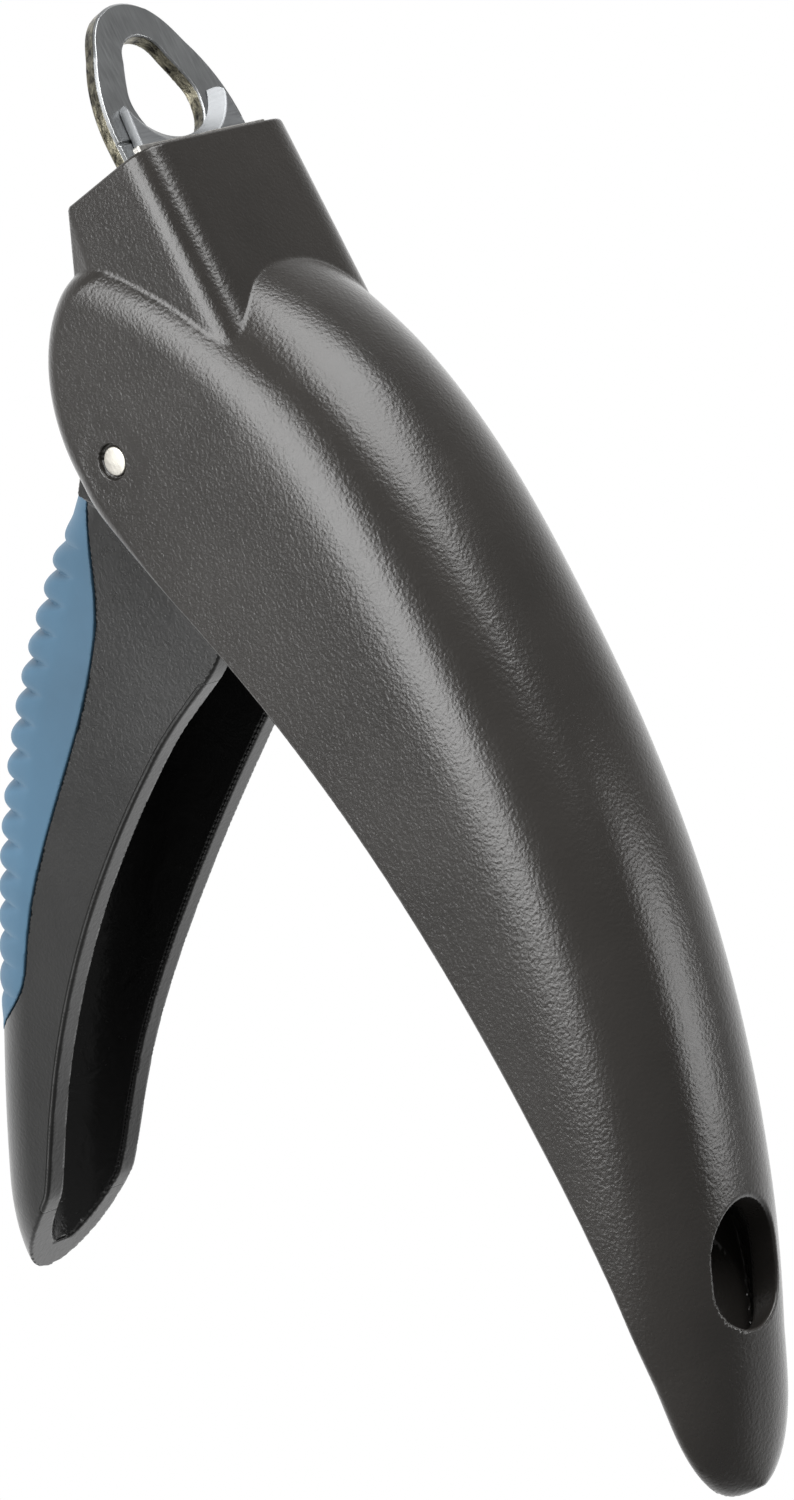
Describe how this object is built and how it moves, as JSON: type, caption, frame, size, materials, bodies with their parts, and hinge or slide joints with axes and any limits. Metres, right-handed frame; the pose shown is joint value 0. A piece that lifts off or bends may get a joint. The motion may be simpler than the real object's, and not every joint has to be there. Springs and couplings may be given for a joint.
{
  "type": "guillotine pet nail clipper",
  "caption": "Guillotine pet nail clipper: squeezing the gripped lever toward the moulded handle drives a blade up across a fixed steel claw ring.",
  "frame": {"origin": "centre of the claw ring's cutting arc at mid-width, in the plane where the ring plate's front face meets the blade, with the lever open", "axes": "+Z along the blade's cutting stroke toward the top of the ring, +X toward the back of the main handle, Y along the pivot pin"},
  "size_m": [0.1057, 0.024, 0.1589],
  "materials": {
    "handle_plastic": "satin-gloss black-brown moulded plastic with a fine leather grain",
    "lever_plastic": "satin black moulded plastic",
    "soft_grip": "matte steel-blue soft grip",
    "ring_steel": "polished face with rough sheared edges",
    "blade_steel": "ground steel with a bright hollow-ground bevel",
    "pin_steel": "bright, lightly scratched end face",
    "fixings": "plain zinc-plated steel",
    "spring_steel": "drawn spring wire",
    "nylon": "natural nylon"
  },
  "bodies": {
    "handle_body": {"main_handle": "handle_plastic", "ring_plate": "ring_steel", "guide_rails": "ring_steel", "cover_plate": "blade_steel", "head_screws": "fixings", "return_spring": "spring_steel", "pivot_pin": "pin_steel", "thrust_washers": "nylon"},
    "lever_body": {"lever_handle": "lever_plastic", "lever_grip": "soft_grip", "drive_arm": "ring_steel", "arm_rivets": "fixings"},
    "blade_body": {"cutting_blade": "blade_steel", "spring_seat": "fixings"}
  },
  "joints": [
    {"name": "lever_pivot", "type": "hinge", "parent": "handle_body", "child": "lever_body", "pos_m": [-0.0174, 0, -0.0314], "axis": [0, -1, 0], "range_deg": [0, 40]},
    {"name": "blade_slide", "type": "slide", "parent": "handle_body", "child": "blade_body", "axis": [0, 0, 1], "range_m": [0, 0.013], "deforming": ["return_spring"]}
  ],
  "couplings": [
    {"joint": "blade_slide", "follows": "lever_pivot", "m_per_rad": 0.018518}
  ]
}
